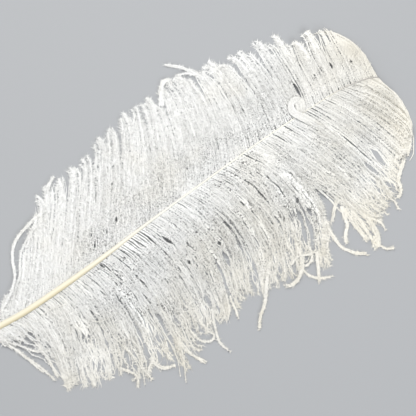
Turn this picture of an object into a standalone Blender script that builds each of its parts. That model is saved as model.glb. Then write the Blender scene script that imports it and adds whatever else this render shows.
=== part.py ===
"""Ostrich plume, lying on the ground with the front of its vanes up. It is one grown piece, so it is one
body: a bare quill end, the shaft, two vanes that are sheets near the shaft and split into locks outward, and
the stray locks that stand clear of them. X runs along the shaft from the quill's butt to the tip, Y to the
left, Z up."""
import math

import bmesh
import bpy
import numpy as np

for old in list(bpy.data.objects):
    bpy.data.objects.remove(old)

MM = 0.001
ORIGIN_X, ORIGIN_Y = 281.7, -25.0  # mm from the butt's point on the axis to the middle of the plume's box

# --- the shaft: s along it from the butt, then x, y, height of its middle and half its width, all in mm
SHAFT = np.array([
    [0, 0, 6.5, 2.2, 1.3],
    [10, 10, 5.8, 3.0, 2.9],
    [34, 34, 4.2, 4.2, 3.6],
    [62, 62, 2.0, 6.2, 3.6],
    [95, 95, -1.6, 9.0, 3.5],
    [150, 150, -3.0, 13.0, 3.3],
    [206, 206, -2.4, 17.0, 2.7],
    [265, 265, -0.9, 21.0, 1.8],
    [340, 340, -0.6, 25.0, 1.3],
    [420, 420, -1.0, 27.5, 1.1],
    [480, 480, -2.6, 27.5, 1.0],
    [520, 519, -4.2, 25.5, 0.9],
    [545, 543, -9.0, 21.5, 0.8],
    [562, 557, -14.5, 14.5, 0.8],
    [574, 562, -18.0, 5.0, 0.7],
])

# --- the vanes: s of the root, the barbs' angle off the shaft at the root and at the end (degrees), their
# length (mm) and how late the turn comes, for the left vane and for the right one
LEFT_VANE = np.array([
    [40, 40, 46, 20, 1.0],
    [66, 44, 48, 34, 1.0],
    [84, 46, 48, 92, 1.0],
    [98, 47, 49, 126, 1.0],
    [126, 47, 48, 142, 1.0],
    [172, 48, 42, 158, 1.0],
    [210, 50, 44, 160, 1.0],
    [250, 50, 54, 149, 1.0],
    [282, 50, 66, 138, 1.0],
    [337, 50, 84, 133, 1.0],
    [392, 58, 96, 113, 0.9],
    [447, 72, 97, 97, 1.0],
    [475, 74, 88, 93, 1.0],
    [502, 74, 77, 75, 1.2],
    [530, 76, 73, 67, 1.5],
    [550, 80, 100, 66, 1.8],
    [574, 84, 184, 105, 2.2],
])
RIGHT_VANE = np.array([
    [40, 62, 72, 106, 0.6],
    [73, 62, 88, 118, 0.6],
    [117, 60, 98, 123, 0.6],
    [145, 60, 102, 140, 0.6],
    [172, 60, 104, 143, 0.6],
    [227, 58, 110, 152, 0.6],
    [262, 57, 113, 146, 0.6],
    [305, 55, 113, 145, 0.6],
    [337, 54, 113, 156, 0.6],
    [392, 54, 117, 166, 0.7],
    [408, 55, 112, 146, 0.8],
    [418, 56, 96, 172, 0.8],
    [447, 60, 88, 158, 0.8],
    [482, 60, 87, 135, 0.9],
    [512, 58, 92, 116, 1.1],
    [537, 60, 100, 91, 1.3],
    [556, 70, 116, 80, 1.5],
    [574, 86, 158, 116, 2.0],
])
FIRST_LOCK, LAST_LOCK, LOCKS = 44, 568, 34  # along the shaft, a pair of locks at each of 34 stations
ALONG = (0, 0.07, 0.18, 0.31, 0.44, 0.56, 0.67, 0.77, 0.86, 0.94, 1.0)  # a lock's steps, shares of its length
VANE_THICK = 4.6  # at a lock's crown
VALLEY = 0.5  # thickness between two locks, as a share of the crown's
ARCH = 0.16  # how far the locks arch up as they leave the shaft, as a share of its height
GROUNDED = 0.77  # the share of a lock's length at which its flat underside reaches the ground
LEFT_SPLIT, RIGHT_SPLIT = (8, 1), (6, 2)  # the step at which two locks come apart, and how much that varies
PARTING, PARTING_SPLIT = (404, 424), 4  # the right vane's locks part here earlier
FOLD_HEIGHT = 7.0  # the locks before the tip rest this high, on the tip that folds under them
FOLD_RISE, FOLD_FALL = (480, 510), (535, 560)  # along the shaft

# --- stray locks: half a width, then points of the middle line (x and y from the butt, and height), in mm
STRAYS = {
    "edge_loop": (1.5, [(61, 3, 5), (79, 18, 4), (96, 30, 3), (111, 46, 2), (122, 63, 2), (134, 70, 2),
                        (151, 73, 2.4)]),
    "edge_inner": (1.5, [(76, 4, 6), (94, 18, 5), (112, 34, 4), (129, 49, 3), (146, 59, 3)]),
    "fork": (2.2, [(178, 72, 3), (186, 87, 3), (195, 96, 2.4), (206, 103, 2)]),
    "fork_back": (2.0, [(181, 76, 3), (180, 88, 2.4), (178, 97, 2)]),
    "pennant": (1.7, [(404, 93, 2.6), (397, 108, 2.4), (390, 119, 2.2), (378, 131, 2)]),
    "over_shaft": (4.2, [(477, -2, 27.5), (479, 6, 30), (476, 13, 31.5), (470, 17, 32), (463, 15, 32.5),
                         (461, 8, 33), (462, 0, 33), (466, -9, 32), (471, -20, 30), (476, -32, 27)]),
    "droop_a": (1.6, [(335, -108, 3.5), (325, -130, 2.4), (312, -149, 2), (300, -159, 1.7),
                      (292, -170, 1.5)]),
    "droop_b": (1.5, [(262, -120, 2.4), (252, -144, 2), (250, -160, 1.6), (255, -171, 1.5)]),
    "droop_c": (1.7, [(209, -97, 3), (203, -128, 2.4), (198, -151, 1.7), (192, -170, 1.6)]),
    "droop_d": (1.5, [(210, -126, 2.4), (214, -141, 2), (223, -163, 1.5)]),
    "s_curl": (1.6, [(436, -94, 4), (421, -124, 2.2), (419, -143, 2), (428, -160, 1.7), (441, -170, 1.6)]),
    "right_end": (1.5, [(454, -140, 2.4), (451, -156, 2), (454, -170, 1.7), (467, -181, 1.5)]),
}


def curve(table, s):
    """Row of the table at s, read along a smooth curve through its rows (Catmull-Rom)."""
    keys = table[:, 0]
    i = int(np.clip(np.searchsorted(keys, s) - 1, 0, len(keys) - 2))
    p1, p2 = table[i], table[i + 1]
    p0, p3 = table[max(i - 1, 0)], table[min(i + 2, len(keys) - 1)]
    t = (s - keys[i]) / (keys[i + 1] - keys[i])
    m1 = (p2 - p0) * (keys[i + 1] - keys[i]) / max(p2[0] - p0[0], 1e-9)
    m2 = (p3 - p1) * (keys[i + 1] - keys[i]) / max(p3[0] - p1[0], 1e-9)
    t2, t3 = t * t, t * t * t
    return (2 * t3 - 3 * t2 + 1) * p1 + (t3 - 2 * t2 + t) * m1 + (3 * t2 - 2 * t3) * p2 + (t3 - t2) * m2


def linear(table, s):
    return [float(np.interp(s, table[:, 0], column)) for column in table.T[1:]]


def smooth(a, b, x):
    t = min(max((x - a) / (b - a), 0.0), 1.0)
    return t * t * (3 - 2 * t)


def wobble(n):
    """A fixed pseudo-random number from -1 to 1 for lock n."""
    return 2 * (math.sin(n * 12.9898 + 4.1) * 43758.5453 % 1.0) - 1


def lock_line(side, s, stretch=1.0):
    """Plan and height of the barbs that leave the shaft at s, at each step from the shaft to their ends."""
    a0, a1, length, late = linear(LEFT_VANE if side > 0 else RIGHT_VANE, s)
    _, x, y, z0, _ = curve(SHAFT, s)
    fine = 100
    t = (np.arange(fine) + 0.5) / fine
    angle = np.radians(a0 + (a1 - a0) * t**late)
    step = length * stretch / fine
    xs = x + np.concatenate([[0], np.cumsum(np.cos(angle) * step)])
    ys = y + np.concatenate([[0], np.cumsum(side * np.sin(angle) * step)])
    rest = FOLD_HEIGHT * (smooth(*FOLD_RISE, s) - smooth(*FOLD_FALL, s))
    points = []
    for t in ALONG:
        low = VANE_THICK * 0.5 * (1 - 0.45 * t) + rest
        drop = smooth(0.02, GROUNDED, t)
        arch = ARCH * z0 * math.sin(math.pi * min(t / 0.7, 1.0))
        points.append((xs[round(t * fine)], ys[round(t * fine)], z0 * (1 - drop) + low * drop + arch))
    return np.array(points)


def vane_thickness(t):
    return VANE_THICK * (0.35 + 0.65 * smooth(0, 0.3, t)) * (1 - 0.45 * t)


bm = bmesh.new()


def vert(x, y, z):
    return bm.verts.new(((x - ORIGIN_X) * MM, (y - ORIGIN_Y) * MM, max(z, 0.0) * MM))


# Shaft rings: top, left upper, left lower, bottom, right lower, right upper. Along the vanes there is a ring at
# each lock's two borders and at its crown, and the vanes' sheets take the place of the ring's sides.
borders = [FIRST_LOCK + (LAST_LOCK - FIRST_LOCK) * j / LOCKS + (2.2 * wobble(j) if 0 < j < LOCKS else 0)
           for j in range(LOCKS + 1)]
stations = [0, 3, 10, 22, 34]
for j in range(LOCKS):
    stations += [borders[j], 0.5 * (borders[j] + borders[j + 1])]
stations += [borders[-1]]
root = len(stations) - 2 * LOCKS - 1  # the first vane station
rings = []
for s in stations:
    _, x, y, z, r = curve(SHAFT, s)
    ahead, behind = curve(SHAFT, s + 1), curve(SHAFT, s - 1)
    run = np.array([ahead[1] - behind[1], ahead[3] - behind[3]])
    up = np.array([-run[1], run[0]]) / np.linalg.norm(run)  # across the shaft in its own vertical plane
    ring = []
    for side, across in ((0, 1), (1, 0.42), (1, -0.42), (0, -1), (-1, -0.42), (-1, 0.42)):
        ring.append(vert(x + up[0] * across * r, y + side * 0.92 * r, z + up[1] * across * r))
    rings.append(ring)
for i in range(len(rings) - 1):
    for c in range(6):
        if i >= root and c in (1, 4):
            continue  # a vane leaves here
        a, b = rings[i], rings[i + 1]
        bm.faces.new((a[c], b[c], b[(c + 1) % 6], a[(c + 1) % 6]))
for ring, order in ((rings[0], 1), (rings[-1], -1)):
    bm.faces.new(ring[::order])


def vane(side):
    """One vane: each lock is a ribbed strip that shares its borders with its neighbours up to the split."""
    upper, lower = (1, 2) if side > 0 else (5, 4)
    lines = []  # per border: (points, first step at which the two locks are apart)
    for j, s in enumerate(borders):
        first, spread = LEFT_SPLIT if side > 0 else RIGHT_SPLIT
        open_at = round(first + spread * wobble(3 * j + side))
        if j in (0, LOCKS):
            open_at = 0
        elif side < 0 and PARTING[0] < s < PARTING[1]:
            open_at = PARTING_SPLIT
        lines.append((lock_line(side, s), open_at))
    shared = {}
    for j in range(LOCKS):
        s = 0.5 * (borders[j] + borders[j + 1])
        crown = lock_line(side, s, 1 + 0.055 * wobble(7 * j + 2 * side))
        lift = 0.7 * wobble(5 * j + side)
        grid = []  # per step, over the top and back underneath: near border, crown, far border
        for k, t in enumerate(ALONG):
            thick = vane_thickness(t)
            ring_near, ring_mid, ring_far = (rings[root + 2 * j + n] for n in range(3))
            if k == 0:
                grid.append([ring_near[upper], ring_mid[upper], ring_far[upper],
                             ring_far[lower], ring_mid[lower], ring_near[lower]])
                continue
            cx, cy, cz = crown[k]
            if t == 1:
                tip = vert(cx, cy, cz)
                grid.append([tip] * 6)
                continue
            row = [None] * 6
            row[1] = vert(cx, cy, cz + thick / 2 + lift * math.sin(math.pi * t))
            row[4] = vert(cx, cy, cz - thick / 2)
            for border, top, bottom in ((j, 0, 5), (j + 1, 2, 3)):
                points, open_at = lines[border]
                px, py, pz = points[k]
                if border in (0, LOCKS) or k > open_at:
                    tau = (t - ALONG[open_at]) / (1 - ALONG[open_at])
                    keep = 0.95 * math.sqrt(max(1 - tau**3.2, 0))
                    pos = [cx + (px - cx) * keep, cy + (py - cy) * keep, cz + (pz - cz) * keep]
                    row[top] = vert(pos[0], pos[1], pos[2] + thick * (VALLEY - 0.5))
                    row[bottom] = vert(pos[0], pos[1], pos[2] - thick / 2)
                else:
                    if (border, k) not in shared:
                        shared[border, k] = (vert(px, py, pz + thick * (VALLEY - 0.5)),
                                             vert(px, py, pz - thick / 2))
                    row[top], row[bottom] = shared[border, k]
            grid.append(row)
        for k, (a, b) in enumerate(zip(grid, grid[1:])):
            for c in range(6):
                d = (c + 1) % 6
                if c in (2, 5):  # the lock's own edges, only where it is apart from its neighbour
                    border = j + 1 if c == 2 else j
                    if border not in (0, LOCKS) and k + 1 <= lines[border][1]:
                        continue
                quad = [a[c], a[d], b[d], b[c]]
                corners = [v for n, v in enumerate(quad) if v not in quad[:n]]
                if side > 0:
                    corners.reverse()
                bm.faces.new(corners)


vane(1)
vane(-1)
bmesh.ops.recalc_face_normals(bm, faces=bm.faces)
bmesh.ops.triangulate(bm, faces=bm.faces)


def make_object(name, source):
    mesh = bpy.data.meshes.new(name)
    source.to_mesh(mesh)
    source.free()
    obj = bpy.data.objects.new(name, mesh)
    bpy.context.scene.collection.objects.link(obj)
    return obj


feather = make_object("feather", bm)

# --- the stray locks: thin bent spindles, joined to the vanes where they lie in them
for name, (half, line) in STRAYS.items():
    bm = bmesh.new()
    line = np.array(line, float)
    keys = np.concatenate([[0], np.cumsum(np.linalg.norm(np.diff(line, axis=0), axis=1))])
    table = np.column_stack([keys, line])
    loops = []
    for t in np.linspace(0, 1, 2 * len(line)):
        d = keys[-1] * t
        here = curve(table, d)[1:]
        way = (curve(table, min(d + 0.5, keys[-1])) - curve(table, max(d - 0.5, 0)))[1:3]
        across = np.array([-way[1], way[0], 0]) / np.linalg.norm(way)
        wide = half * (0.55 + 0.45 * math.sin(math.pi * t)) * math.sqrt(1.02 - t**3)
        high = np.array([0, 0, min(wide, 1.4)])
        loops.append([vert(*(here + across * wide * a + high * b))
                      for a, b in ((1, 0), (0, 1), (-1, 0), (0, -1))])
    for a, b in zip(loops, loops[1:]):
        for c in range(4):
            bm.faces.new((a[c], a[(c + 1) % 4], b[(c + 1) % 4], b[c]))
    bm.faces.new(loops[0])
    bm.faces.new(loops[-1][::-1])
    bmesh.ops.recalc_face_normals(bm, faces=bm.faces)
    bmesh.ops.triangulate(bm, faces=bm.faces)
    stray = make_object(name, bm)
    union = feather.modifiers.new(name, "BOOLEAN")
    union.operation = "UNION"
    union.object = stray
    bpy.context.view_layer.objects.active = feather
    bpy.ops.object.modifier_apply(modifier=union.name)
    bpy.data.objects.remove(stray)

white = bpy.data.materials.new("white barbs")
white.use_nodes = True
shader = white.node_tree.nodes["Principled BSDF"]
shader.inputs["Base Color"].default_value = (0.86, 0.86, 0.83, 1)
shader.inputs["Roughness"].default_value = 0.75
feather.data.materials.clear()
feather.data.materials.append(white)
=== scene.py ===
"""Looks of an ostrich plume that lies on a pale floor, seen from above as in the photograph."""
import math

import bmesh
import bpy
import numpy as np
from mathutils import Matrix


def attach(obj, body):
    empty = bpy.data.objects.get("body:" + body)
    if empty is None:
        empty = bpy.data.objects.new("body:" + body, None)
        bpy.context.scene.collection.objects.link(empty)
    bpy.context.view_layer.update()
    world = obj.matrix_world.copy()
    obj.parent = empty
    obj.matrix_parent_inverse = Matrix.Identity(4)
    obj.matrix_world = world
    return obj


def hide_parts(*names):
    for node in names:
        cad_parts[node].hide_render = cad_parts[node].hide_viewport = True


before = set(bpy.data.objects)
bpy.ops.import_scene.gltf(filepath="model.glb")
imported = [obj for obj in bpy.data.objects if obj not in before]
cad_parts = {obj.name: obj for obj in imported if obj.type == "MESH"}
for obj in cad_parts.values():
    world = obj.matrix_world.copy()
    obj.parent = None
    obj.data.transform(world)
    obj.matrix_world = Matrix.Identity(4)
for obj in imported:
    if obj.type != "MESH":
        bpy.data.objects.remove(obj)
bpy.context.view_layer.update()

# ---------------------------------------------------------------- camera, floor and light
# The plume lies on a wide sheet of pale grey paper, lit by two large soft lamps and a pale room. The camera looks
# straight down on it with a long lens, turned so that the shaft climbs to the right.
ROLL = math.radians(35.5)  # the shaft's slope in the picture
VIEW_WIDTH = 0.4576  # metres of the plume's plane across the picture
MIDDLE_X, MIDDLE_Y, MIDDLE_Z = 0.0432, -0.0004, 0.012
DISTANCE = 2.2
FLOOR_HALF, FLOOR_TOP = 3.0, -0.0004

camera = bpy.data.cameras.new("camera")
camera.sensor_width = 36
camera.lens = camera.sensor_width * DISTANCE / VIEW_WIDTH
viewer = bpy.data.objects.new("camera", camera)
bpy.context.collection.objects.link(viewer)
viewer.location = (MIDDLE_X, MIDDLE_Y, MIDDLE_Z + DISTANCE)
viewer.rotation_euler = (0, 0, -ROLL)
bpy.context.scene.camera = viewer

floor_mesh = bpy.data.meshes.new("floor")
corners = [(x * FLOOR_HALF, y * FLOOR_HALF, FLOOR_TOP) for x, y in ((-1, -1), (1, -1), (1, 1), (-1, 1))]
floor_mesh.from_pydata(corners, [], [(0, 1, 2, 3)])
floor = bpy.data.objects.new("floor", floor_mesh)
bpy.context.collection.objects.link(floor)
paper = bpy.data.materials.new("floor paper")
paper.use_nodes = True
shader = paper.node_tree.nodes["Principled BSDF"]
shader.inputs["Base Color"].default_value = (0.355, 0.364, 0.378, 1)
shader.inputs["Roughness"].default_value = 0.9
floor.data.materials.append(paper)

world = bpy.data.worlds.new("studio")
world.use_nodes = True
room = world.node_tree.nodes["Background"]
room.inputs["Color"].default_value = (0.94, 0.97, 1.0, 1)
room.inputs["Strength"].default_value = 0.355
bpy.context.scene.world = world


def area_light(name, across, up, height, size, watts, colour):
    """A square soft light at (across, up) in the picture's own directions, aimed at the plume's middle."""
    light = bpy.data.lights.new(name, "AREA")
    light.size, light.energy, light.color = size, watts, colour
    lamp = bpy.data.objects.new(name, light)
    bpy.context.collection.objects.link(lamp)
    c, s = math.cos(ROLL), math.sin(ROLL)
    lamp.location = (MIDDLE_X + across * c + up * s, MIDDLE_Y - across * s + up * c, height)
    away = lamp.location.copy()
    away.x -= MIDDLE_X
    away.y -= MIDDLE_Y
    lamp.rotation_euler = away.to_track_quat("Z", "Y").to_euler()


area_light("key", -0.25, 0.75, 1.9, 0.9, 39.2, (1.0, 0.985, 0.96))
area_light("fill", 1.0, -0.9, 1.7, 1.4, 18.8, (0.96, 0.975, 1.0))
bpy.context.scene.view_settings.view_transform = "Standard"

# ---------------------------------------------------------------- shaft
# The plume's one shaft, a keratin tube that grew from the bare quill end to the folded tip. It is a straight tube
# laid ring by ring along a middle line that keeps within 2 mm of the solid's.
ORIGIN_X, ORIGIN_Y = 281.7, -25.0  # mm from the quill's butt to the middle of the plume's box
MM = 0.001
# s along the shaft from the butt, then x, y, height of the middle and half the width, in mm
SHAFT = np.array([
    [0, 0, 6.5, 2.2, 1.3],
    [10, 10, 5.8, 3.0, 2.9],
    [34, 34, 4.2, 4.2, 3.6],
    [62, 62, 2.0, 6.2, 3.6],
    [95, 95, -1.6, 9.0, 3.5],
    [150, 150, -3.0, 13.0, 3.3],
    [206, 206, -2.4, 17.0, 2.7],
    [265, 265, -0.4, 21.0, 1.6],
    [340, 340, 0.4, 25.0, 1.1],
    [420, 420, 0.7, 27.5, 0.95],
    [480, 480, -1.5, 27.5, 1.0],
    [520, 519, -4.2, 25.5, 0.9],
    [545, 543, -9.0, 21.5, 0.8],
    [562, 557, -14.5, 14.5, 0.8],
    [574, 562, -18.0, 5.0, 0.7],
])
SHAFT_LENGTH = SHAFT[-1, 0]
SHAFT_SIDES = 14
END_RAISED = 1.9  # mm, so that its end lies clear of the barbs of the folded tip


def curve(table, s):
    """Rows of the table at each s, read along a smooth curve through its rows (Catmull-Rom)."""
    keys = table[:, 0]
    i = np.clip(np.searchsorted(keys, s) - 1, 0, len(keys) - 2)
    p1, p2 = table[i], table[i + 1]
    p0, p3 = table[np.maximum(i - 1, 0)], table[np.minimum(i + 2, len(keys) - 1)]
    span = (keys[i + 1] - keys[i])[:, None]
    t = (s - keys[i])[:, None] / span
    m1 = (p2 - p0) * span / np.maximum(p2[:, :1] - p0[:, :1], 1e-9)
    m2 = (p3 - p1) * span / np.maximum(p3[:, :1] - p1[:, :1], 1e-9)
    t2, t3 = t * t, t * t * t
    return ((2 * t3 - 3 * t2 + 1) * p1 + (t3 - 2 * t2 + t) * m1
            + (3 * t2 - 2 * t3) * p2 + (t3 - t2) * m2)[:, 1:]


def mesh_object(name, material, points, faces, uv, tint=None, smooth=False):
    """An object from points in mm from the quill's butt, and triangles; uv and tint belong to the points."""
    points = (points - (ORIGIN_X, ORIGIN_Y, 0)) * MM
    mesh = bpy.data.meshes.new(name)
    mesh.vertices.add(len(points))
    mesh.vertices.foreach_set("co", points.astype(np.float32).ravel())
    mesh.loops.add(faces.size)
    mesh.loops.foreach_set("vertex_index", faces.astype(np.int32).ravel())
    mesh.polygons.add(len(faces))
    mesh.polygons.foreach_set("loop_start", np.arange(0, faces.size, 3, dtype=np.int32))
    mesh.polygons.foreach_set("use_smooth", np.full(len(faces), smooth))
    mesh.update(calc_edges=True)
    layer = mesh.uv_layers.new(name="UVMap")
    layer.data.foreach_set("uv", uv[faces.ravel()].astype(np.float32).ravel())
    if tint is not None:
        layer = mesh.color_attributes.new("tint", "FLOAT_COLOR", "POINT")
        rgba = np.concatenate([tint, np.ones((len(tint), 1))], 1)
        layer.data.foreach_set("color", rgba.astype(np.float32).ravel())
    mesh.materials.append(material)
    piece = bpy.data.objects.new(name, mesh)
    bpy.context.collection.objects.link(piece)
    return piece


horn = bpy.data.materials.new("ivory shaft")
horn.use_nodes = True
tree = horn.node_tree
shader = tree.nodes["Principled BSDF"]


def node(kind, links=(), **settings):
    """A node's outputs; links are (input, socket) pairs, settings its properties or, as in_2, numbered inputs."""
    made = tree.nodes.new(kind)
    for key, value in settings.items():
        if key.startswith("in_"):
            made.inputs[int(key[3:])].default_value = value
        else:
            setattr(made, key, value)
    for where, socket in links:
        tree.links.new(socket, made.inputs[where])
    return made.outputs


def fade(value, start, end, low=0.0, high=1.0):
    """From low to high while the value goes from start to end."""
    return node("ShaderNodeMapRange", [(0, value)], in_1=start, in_2=end, in_3=low, in_4=high)[0]


def noise(where, scale, detail):
    """A soft random pattern, with scale bumps to a unit of where."""
    return node("ShaderNodeTexNoise", [(0, where)], in_2=scale, in_3=detail)[0]


def blend(share, low, high):
    """A colour between low (a constant or a socket) and high (a constant) at this share."""
    links, settings = ([(6, low)], {}) if not isinstance(low, tuple) else ([], {"in_6": (*low, 1)})
    return node("ShaderNodeMix", [(0, share), *links], data_type="RGBA", in_7=(*high, 1), **settings)[2]


def shaded(colour, shade):
    """The colour times the shade, on the shader."""
    final = node("ShaderNodeMix", [(6, colour), (7, shade)], data_type="RGBA", blend_type="MULTIPLY", in_0=1.0)[2]
    tree.links.new(final, shader.inputs["Base Color"])


# u runs round the shaft from its top, v along it: cream above and tan on the flank towards the lower vane, the tan
# being painted shade;
# nearly white along the middle of the plume and beige again at the folded tip, with fine streaks lengthwise
uv = node("ShaderNodeTexCoord")["UV"]
round_share, length_share = node("ShaderNodeSeparateXYZ", [(0, uv)])[:2]
# painted shade: the tan flank towards the lower vane, against the lit cream top
shaft_tone_and_shade = blend(fade(round_share, 0.40, 0.62), (0.72, 0.645, 0.45), (0.87, 0.825, 0.68))
shaft_tone_and_shade = blend(fade(length_share, 0.26, 0.50), shaft_tone_and_shade, (0.80, 0.785, 0.715))
shaft_tone_and_shade = blend(fade(length_share, 0.80, 0.88), shaft_tone_and_shade, (0.71, 0.685, 0.61))
shaft_tone_and_shade = blend(fade(length_share, 0.88, 0.93), shaft_tone_and_shade, (0.60, 0.57, 0.54))
stretched = node("ShaderNodeMapping", [(0, uv)], in_3=(38.0, 9.0, 1.0))[0]
streak = fade(noise(stretched, 1.0, 3.0), 0.3, 0.7, 0.90, 1.0)
shaded(shaft_tone_and_shade, streak)
tree.links.new(fade(streak, 0.90, 1.0, 0.52, 0.38), shader.inputs["Roughness"])

at = np.concatenate([np.linspace(0, 12, 9), np.linspace(15, SHAFT_LENGTH, 150)])
middle = curve(SHAFT, at)
near_end = np.clip((at - 500) / 40, 0, 1)
middle[:, 2] += END_RAISED * near_end
run = np.gradient(middle[:, :3], axis=0)
run /= np.linalg.norm(run, axis=1)[:, None]
sideways = np.cross([0, 0, 1.0], run)
sideways /= np.linalg.norm(sideways, axis=1)[:, None]
upward = np.cross(run, sideways)
# barb roots cover its flanks near the tip
half = middle[:, 3] * (1 - 0.35 * np.clip((at - 380) / 100, 0, 1)) * (1 - 0.15 * near_end)
tube = bmesh.new()
bmesh.ops.create_cone(tube, cap_ends=True, cap_tris=True, segments=SHAFT_SIDES, radius1=1, radius2=1, depth=1)
long_edges = [edge for edge in tube.edges if abs(edge.verts[0].co.z - edge.verts[1].co.z) > 0.5]
bmesh.ops.subdivide_edges(tube, edges=long_edges, cuts=len(at) - 2)
bmesh.ops.triangulate(tube, faces=tube.faces)
straight = np.array([vertex.co for vertex in tube.verts])
tris = np.array([[vertex.index for vertex in face.verts] for face in tube.faces])
tube.free()
ring = np.rint((straight[:, 2] + 0.5) * (len(at) - 1)).astype(int)
hub = np.hypot(straight[:, 0], straight[:, 1]) < 0.5  # the middle points of the two ends
out = straight[:, :2] * half[ring][:, None] * (1, 0.95)
body = middle[ring, :3] + sideways[ring] * out[:, :1] + upward[ring] * out[:, 1:]
body[hub] = middle[ring[hub], :3] + run[ring[hub]] * np.where(ring[hub] > 0, 0.5, -0.6)[:, None]
around = np.where(hub, 0.5, (np.arctan2(straight[:, 0], straight[:, 1]) / (2 * np.pi) + 0.5) % 1.0)
shaft = mesh_object("shaft", horn, body, tris, np.stack([around, at[ring] / SHAFT_LENGTH], -1), smooth=True)
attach(shaft, "root")
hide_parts("feather")

# ---------------------------------------------------------------- barbs
# Two vanes of long, soft keratin barbs that grow out of the shaft's sides, gather in tufts and carry fluffy
# barbules. Each barb is a thin closed strip along its own line, and the barbules of the top ones are small blades.
# Tables of the two vanes: s of the root on the shaft, angle off the shaft in degrees at the root and at the end,
# length in mm, and how late the barb turns from the first angle to the second (a power).
LEFT_VANE = np.array([
    [40, 46, 48, 20, 1.0],
    [66, 46, 49, 34, 1.0],
    [79, 46, 49, 44, 1.0],
    [86, 47, 50, 96, 1.0],
    [98, 48, 51, 126, 1.0],
    [126, 49, 52, 131, 1.0],
    [172, 50, 52, 142, 1.0],
    [210, 52, 55, 143, 1.0],
    [250, 53, 62, 137, 1.0],
    [282, 54, 70, 132, 1.0],
    [337, 54, 86, 136, 1.0],
    [392, 60, 98, 112, 0.8],
    [447, 74, 98, 102, 0.9],
    [475, 76, 90, 93, 1.0],
    [502, 76, 80, 76, 1.0],
    [530, 78, 78, 70, 1.3],
    [550, 80, 100, 67, 1.8],
    [574, 84, 184, 103, 2.2],
])
RIGHT_VANE = np.array([
    [40, 62, 72, 106, 0.6],
    [62, 62, 77, 113, 0.6],
    [76, 60, 92, 112, 0.6],
    [88, 60, 112, 106, 0.5],
    [105, 60, 118, 108, 0.45],
    [145, 60, 116, 122, 0.5],
    [172, 60, 112, 138, 0.55],
    [200, 60, 108, 157, 0.6],
    [227, 60, 110, 150, 0.65],
    [262, 60, 112, 144, 0.7],
    [305, 58, 120, 158, 0.85],
    [337, 57, 126, 156, 0.95],
    [375, 57, 130, 158, 1.0],
    [392, 58, 134, 157, 1.2],
    [409.9, 61, 147, 166, 1.55],
    [410.1, 68, 80, 160, 1.1],
    [421, 63, 84, 164, 0.8],
    [447, 62, 84, 149, 0.8],
    [482, 61, 84, 125, 0.9],
    [512, 56, 82, 104, 1.4],
    [537, 54, 90, 76, 1.8],
    [556, 62, 112, 71, 1.6],
    [574, 86, 158, 105, 2.0],
])
FIRST, LAST = 44, 572  # s of the first and the last barb
BARB_PITCH = 3.0  # mm along the shaft
# Layers of barbs by side, the top one first: how far each lies under the first and half the width of its barbs, in
# mm. The top one's barbs carry barbules, and the wider ones below close most of the gaps between them.
LAYERS = {1: [(0, 0.40), (1.7, 1.35)], -1: [(0, 0.40), (2.0, 1.28), (2.6, 1.2)]}
PARTS = ((0, 0.38), (0.38, 0.70), (0.70, 1.03))  # shares of a vane's barbs that its three pieces take
VANE_THICK = 4.6  # mm, where it lies on the floor
ARCH, GROUNDED = 0.16, 0.77  # rise beside the shaft per mm of its height, and the share of a barb off the floor
# Near the tip's fold the vane is held off the floor: by how many mm, and the s over which that begins and ends.
FOLD_HEIGHT, FOLD_RISE, FOLD_FALL = 7.0, (480, 510), (535, 560)
# The tufts that barbs gather in: s where each starts, and its reach against the even outline.
LEFT_TUFTS = [(44, 0.95), (60, 0.95), (72, 1), (80, 1), (88, 0.856), (94, 0.93), (100, 0.952), (106, 1.043),
              (120, 0.966), (126, 0.965), (142, 0.979), (150, 0.943), (156, 0.934), (162, 0.921), (178, 0.995),
              (188, 0.98), (202, 0.966), (208, 0.961), (222, 0.987), (238, 1.003), (248, 0.996), (262, 0.883),
              (270, 0.967), (278, 0.979), (294, 0.871), (306, 0.945), (322, 0.923), (332, 0.93), (340, 0.95),
              (354, 0.877), (370, 0.99), (384, 0.94), (396, 1.02), (404, 1.002), (414, 0.935), (430, 0.98),
              (442, 0.976), (452, 0.918), (458, 1.02), (472, 0.948), (478, 1.053), (488, 0.923), (504, 1.033),
              (520, 1), (532, 1.025), (540, 0.971), (552, 0.94), (558, 0.98), (566, 1)]
RIGHT_TUFTS = [(44, 1), (56, 1.01), (68, 0.97), (78, 0.93), (92, 0.978), (106, 0.905), (112, 1.03),
               (120, 1.04), (134, 1.017), (146, 0.959), (160, 1.101), (166, 1.092), (172, 0.92), (178, 1.01),
               (184, 0.935), (198, 1.077), (206, 0.94), (214, 1.029), (222, 0.932), (230, 0.95), (240, 1.002),
               (250, 0.96), (256, 0.997), (264, 1.025), (278, 0.902), (284, 0.968), (290, 0.894), (302, 0.881),
               (316, 0.956), (326, 0.955), (338, 0.988), (348, 0.97), (360, 1.001), (374, 0.958), (382, 0.968),
               (388, 1.097), (402, 0.99), (410, 0.996), (414, 1.022), (424, 0.973), (430, 1), (440, 0.999),
               (454, 1.029), (466, 1.075), (480, 0.992), (490, 0.968), (504, 0.964), (518, 1.025), (532, 0.98),
               (538, 0.95), (552, 0.98), (564, 1.01)]
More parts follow.
